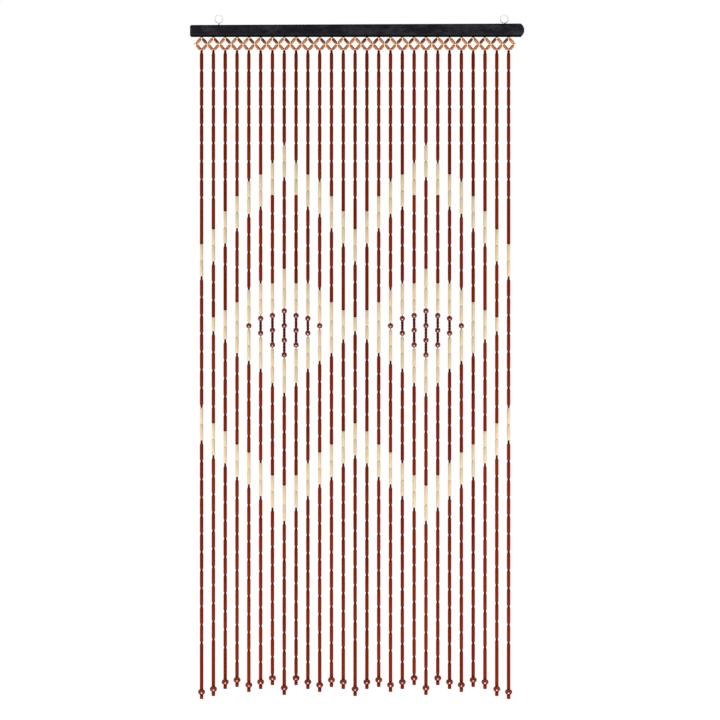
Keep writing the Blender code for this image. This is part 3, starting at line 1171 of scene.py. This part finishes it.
@dataclass(frozen=True)
class ScrewEye:
    """Screw eye of bent wire, whose threaded shank sits in the bar."""

    name: str
    node: str
    x: float
    bar_top: float
    wire_radius: float = 1.6 * MM
    point_radius: float = 0.3 * MM
    ring_radius: float = 10.1 * MM
    bend_radius: float = 2.4 * MM
    tip_angle: float = 20.0
    shank_length: float = 18.0 * MM
    point_length: float = 3.0 * MM
    sides: int = 16
    bend_steps: int = 8
    ring_steps: int = 56

    def build(self, material: Material) -> Object:
        """Bend the wire: up the shank, round a small bend and on round the ring.

        Args:
            material: its finish.

        Returns:
            The eye as one piece.
        """
        ring_z = self.wire_radius - self.ring_radius
        drop = math.sqrt(self.ring_radius**2 + 2.0 * self.ring_radius * self.bend_radius)
        bend = Vector((self.x + self.bend_radius, 0.0, ring_z - drop))
        meeting = math.atan2(-drop, self.bend_radius)
        foot = self.bar_top - self.shank_length
        place = Matrix.Translation((self.x, 0.0, foot))
        swell = self.wire_radius / self.point_radius
        bm = bmesh.new()
        bmesh.ops.create_circle(
            bm, cap_ends=True, segments=self.sides, radius=self.point_radius, matrix=place
        )
        rim = [edge for edge in bm.edges if edge.is_boundary]
        grown = self.push(bm, rim, self.point_length)
        bmesh.ops.scale(
            bm, vec=(swell, swell, 1.0), space=Matrix.Translation((-self.x, 0.0, 0.0)),
            verts=only(grown, BMVert),
        )
        rim = self.push(bm, only(grown, BMEdge), bend.z - foot - self.point_length)
        turned = self.turn(bm, rim, bend, math.pi + meeting, self.bend_steps)
        centre = Vector((self.x, 0.0, ring_z))
        sweep = math.radians(270.0 - self.tip_angle) - meeting
        turned = self.turn(bm, turned, centre, -sweep, self.ring_steps)
        bmesh.ops.holes_fill(bm, edges=only(turned, BMEdge), sides=0)
        bmesh.ops.recalc_face_normals(bm, faces=bm.faces)
        return new_piece(self.name, bm, [material], self.node)

    def push(self, bm: BMesh, rim: Sequence, rise: float) -> list:
        """Draw the wire's open rim straight up.

        Args:
            bm: the wire's mesh.
            rim: edges of its open end.
            rise: how far up.

        Returns:
            The new rim's points and edges.
        """
        grown = bmesh.ops.extrude_edge_only(bm, edges=list(rim))["geom"]
        bmesh.ops.translate(bm, vec=(0.0, 0.0, rise), verts=only(grown, BMVert))
        return only(grown, (BMVert, BMEdge))

    def turn(self, bm: BMesh, rim: list, centre: Vector, angle: float, steps: int) -> list:
        """Draw the wire's open rim round a centre, right-handed about +Y, and return the new rim."""
        made = bmesh.ops.spin(
            bm, geom=rim, cent=centre, axis=(0, 1, 0), angle=angle, steps=steps, use_merge=False
        )
        return list(made["geom_last"])


# Studio, camera and main


@dataclass(frozen=True)
class SoftSun:
    """Soft light that is even all over the curtain, for matt surfaces, gloss or both."""

    name: str
    power: float
    spread: float
    way: Triple
    matt: bool = True
    gloss: bool = True

    def build(self) -> None:
        """Add the light, which shines its own way."""
        light = bpy.data.lights.new(self.name, "SUN")
        light.energy = self.power
        light.angle = math.radians(self.spread)
        sun = bpy.data.objects.new(self.name, light)
        sun.rotation_euler = Vector(self.way).to_track_quat("-Z", "Y").to_euler()
        sun.visible_diffuse = self.matt
        sun.visible_glossy = self.gloss
        bpy.context.scene.collection.objects.link(sun)


@dataclass(frozen=True)
class Studio:
    """Pale floor below the strings, soft even lights and a low gleam on the beads."""

    suns: tuple[SoftSun, ...] = (
        SoftSun("high_light", power=1.3, spread=50.0, way=(0.0, 0.35, -1.0), gloss=False),
        SoftSun("low_light", power=1.75, spread=34.0, way=(0.0, 0.77, 0.64)),
        SoftSun("gleam", power=2.2, spread=44.0, way=(0.0, 0.77, 0.64), matt=False),
        SoftSun("back_light", power=1.5, spread=50.0, way=(0.0, -1.0, -0.1), gloss=False),
    )
    floor_drop: float = 2.06
    floor_size: float = 5.0
    floor_colour: Colour = (0.95, 0.95, 0.95)
    floor_glow: float = 0.8
    room_light: float = 0.1
    panel_power: float = 9.0
    panel_place: Triple = (1.15, -0.35, -0.95)
    panel_size: Pair = (0.3, 2.3)
    panel_aim: float = 0.2
    lens: float = 200.0
    sensor: float = 36.0
    far_clip: float = 200.0
    frame_size: float = 1.939
    centre: Pair = (0.0132, -0.9263)

    def build_floor(self) -> None:
        """Lay the floor below the strings."""
        bm = bmesh.new()
        matrix = Matrix.Translation((0.0, 0.0, -self.floor_drop))
        bmesh.ops.create_grid(bm, x_segments=1, y_segments=1, size=self.floor_size / 2.0, matrix=matrix)
        mesh = bpy.data.meshes.new("floor")
        bm.to_mesh(mesh)
        bm.free()
        finish = PlainFinish("lit_floor", self.floor_colour, 0.9, 0.4, self.floor_glow)
        mesh.materials.append(finish.build())
        floor = bpy.data.objects.new("floor", mesh)
        bpy.context.scene.collection.objects.link(floor)
        floor.visible_shadow = False
        floor.visible_glossy = False

    def build_world(self) -> None:
        """Make the room pure white to look at and softer as a light."""
        world = bpy.data.worlds.new("white_room")
        world.use_nodes = True
        tree = world.node_tree
        background = tree.nodes["Background"]
        background.inputs["Color"].default_value = (1.0, 1.0, 1.0, 1.0)
        rays = tree.nodes.new("ShaderNodeLightPath")
        strength = tree.nodes.new("ShaderNodeMapRange")
        strength.inputs["To Min"].default_value = self.room_light
        tree.links.new(rays.outputs["Is Camera Ray"], strength.inputs["Value"])
        tree.links.new(strength.outputs["Result"], background.inputs["Strength"])
        bpy.context.scene.world = world

    def add_panel(self, name: str, side: float) -> None:
        """Stand a soft light panel beside the curtain, just out of view.

        Args:
            name: its name.
            side: -1 for the left, 1 for the right.
        """
        light = bpy.data.lights.new(name, "AREA")
        light.shape = "RECTANGLE"
        light.size, light.size_y = self.panel_size
        light.energy = self.panel_power
        panel = bpy.data.objects.new(name, light)
        panel.visible_glossy = False
        across, front, up = self.panel_place
        panel.location = (self.centre[0] + side * across, front, up)
        target = Vector((self.centre[0] + side * self.panel_aim, 0.0, up))
        panel.rotation_euler = (target - panel.location).to_track_quat("-Z", "Y").to_euler()
        bpy.context.scene.collection.objects.link(panel)

    def build_camera(self) -> None:
        """Place the camera straight in front."""
        camera = bpy.data.cameras.new("camera")
        camera.lens = self.lens
        camera.sensor_width = self.sensor
        camera.clip_end = self.far_clip
        view = bpy.data.objects.new("camera", camera)
        distance = self.frame_size / 2.0 / (self.sensor / 2.0 / self.lens)
        view.location = (self.centre[0], -distance, self.centre[1])
        view.rotation_euler = (math.radians(90.0), 0.0, 0.0)
        bpy.context.scene.collection.objects.link(view)
        bpy.context.scene.camera = view

    def build(self) -> None:
        """Make the floor, the lights and the camera."""
        self.build_floor()
        self.build_world()
        for sun in self.suns:
            sun.build()
        self.add_panel("left_panel", -1.0)
        self.add_panel("right_panel", 1.0)
        self.build_camera()
        bpy.context.scene.view_settings.view_transform = "Standard"
        LOG.info("studio ready")


@dataclass(frozen=True)
class BeadCurtain:
    """The whole curtain on its bar."""

    layout: Layout = Layout()
    figure_centres: tuple[int, ...] = (7, 19)
    left_eye: float = -367.0 * MM
    right_eye: float = 402.0 * MM

    def build(self) -> None:
        """Make the bar, the eyes, the heading and every string."""
        underside = self.layout.underside
        bar = HangingBar(underside)
        bar.build(StainedLath(underside).build())
        zinc = ZincWire().build()
        for side, x in (("left", self.left_eye), ("right", self.right_eye)):
            top = underside + bar.height(x)
            ScrewEye(f"{side}_eye_wire", f"{side}_screw_eye", x, top).build(zinc)
        materials = [FINISHES[wood].build() for wood in Wood]
        sizes = BeadSizes()
        shapes = BeadShapes(sizes)
        Heading(self.layout, HeadingSizes(), shapes.cord).build(materials)
        for number in range(self.layout.count):
            row = STRING_ROWS[min(abs(number - centre) for centre in self.figure_centres)]
            BeadString(number, self.layout, row, sizes, shapes).build(materials)


def arc(centre: Pair, radius: float, start: float, end: float, steps: int) -> list[Pair]:
    """Points of an arc, both ends included.

    Args:
        centre: its centre, across and up.
        radius: its radius.
        start: angle of its first point in degrees.
        end: angle of its last point in degrees.
        steps: steps between them.

    Returns:
        The points.
    """
    points = []
    for step in range(steps + 1):
        angle = math.radians(start + (end - start) * step / steps)
        points.append((centre[0] + radius * math.cos(angle), centre[1] + radius * math.sin(angle)))
    return points


def main() -> None:
    """Build the curtain's looks and the studio."""
    logging.basicConfig(level=logging.INFO, format="%(message)s")
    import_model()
    BeadCurtain().build()
    Studio().build()


if __name__ == "__main__":
    main()
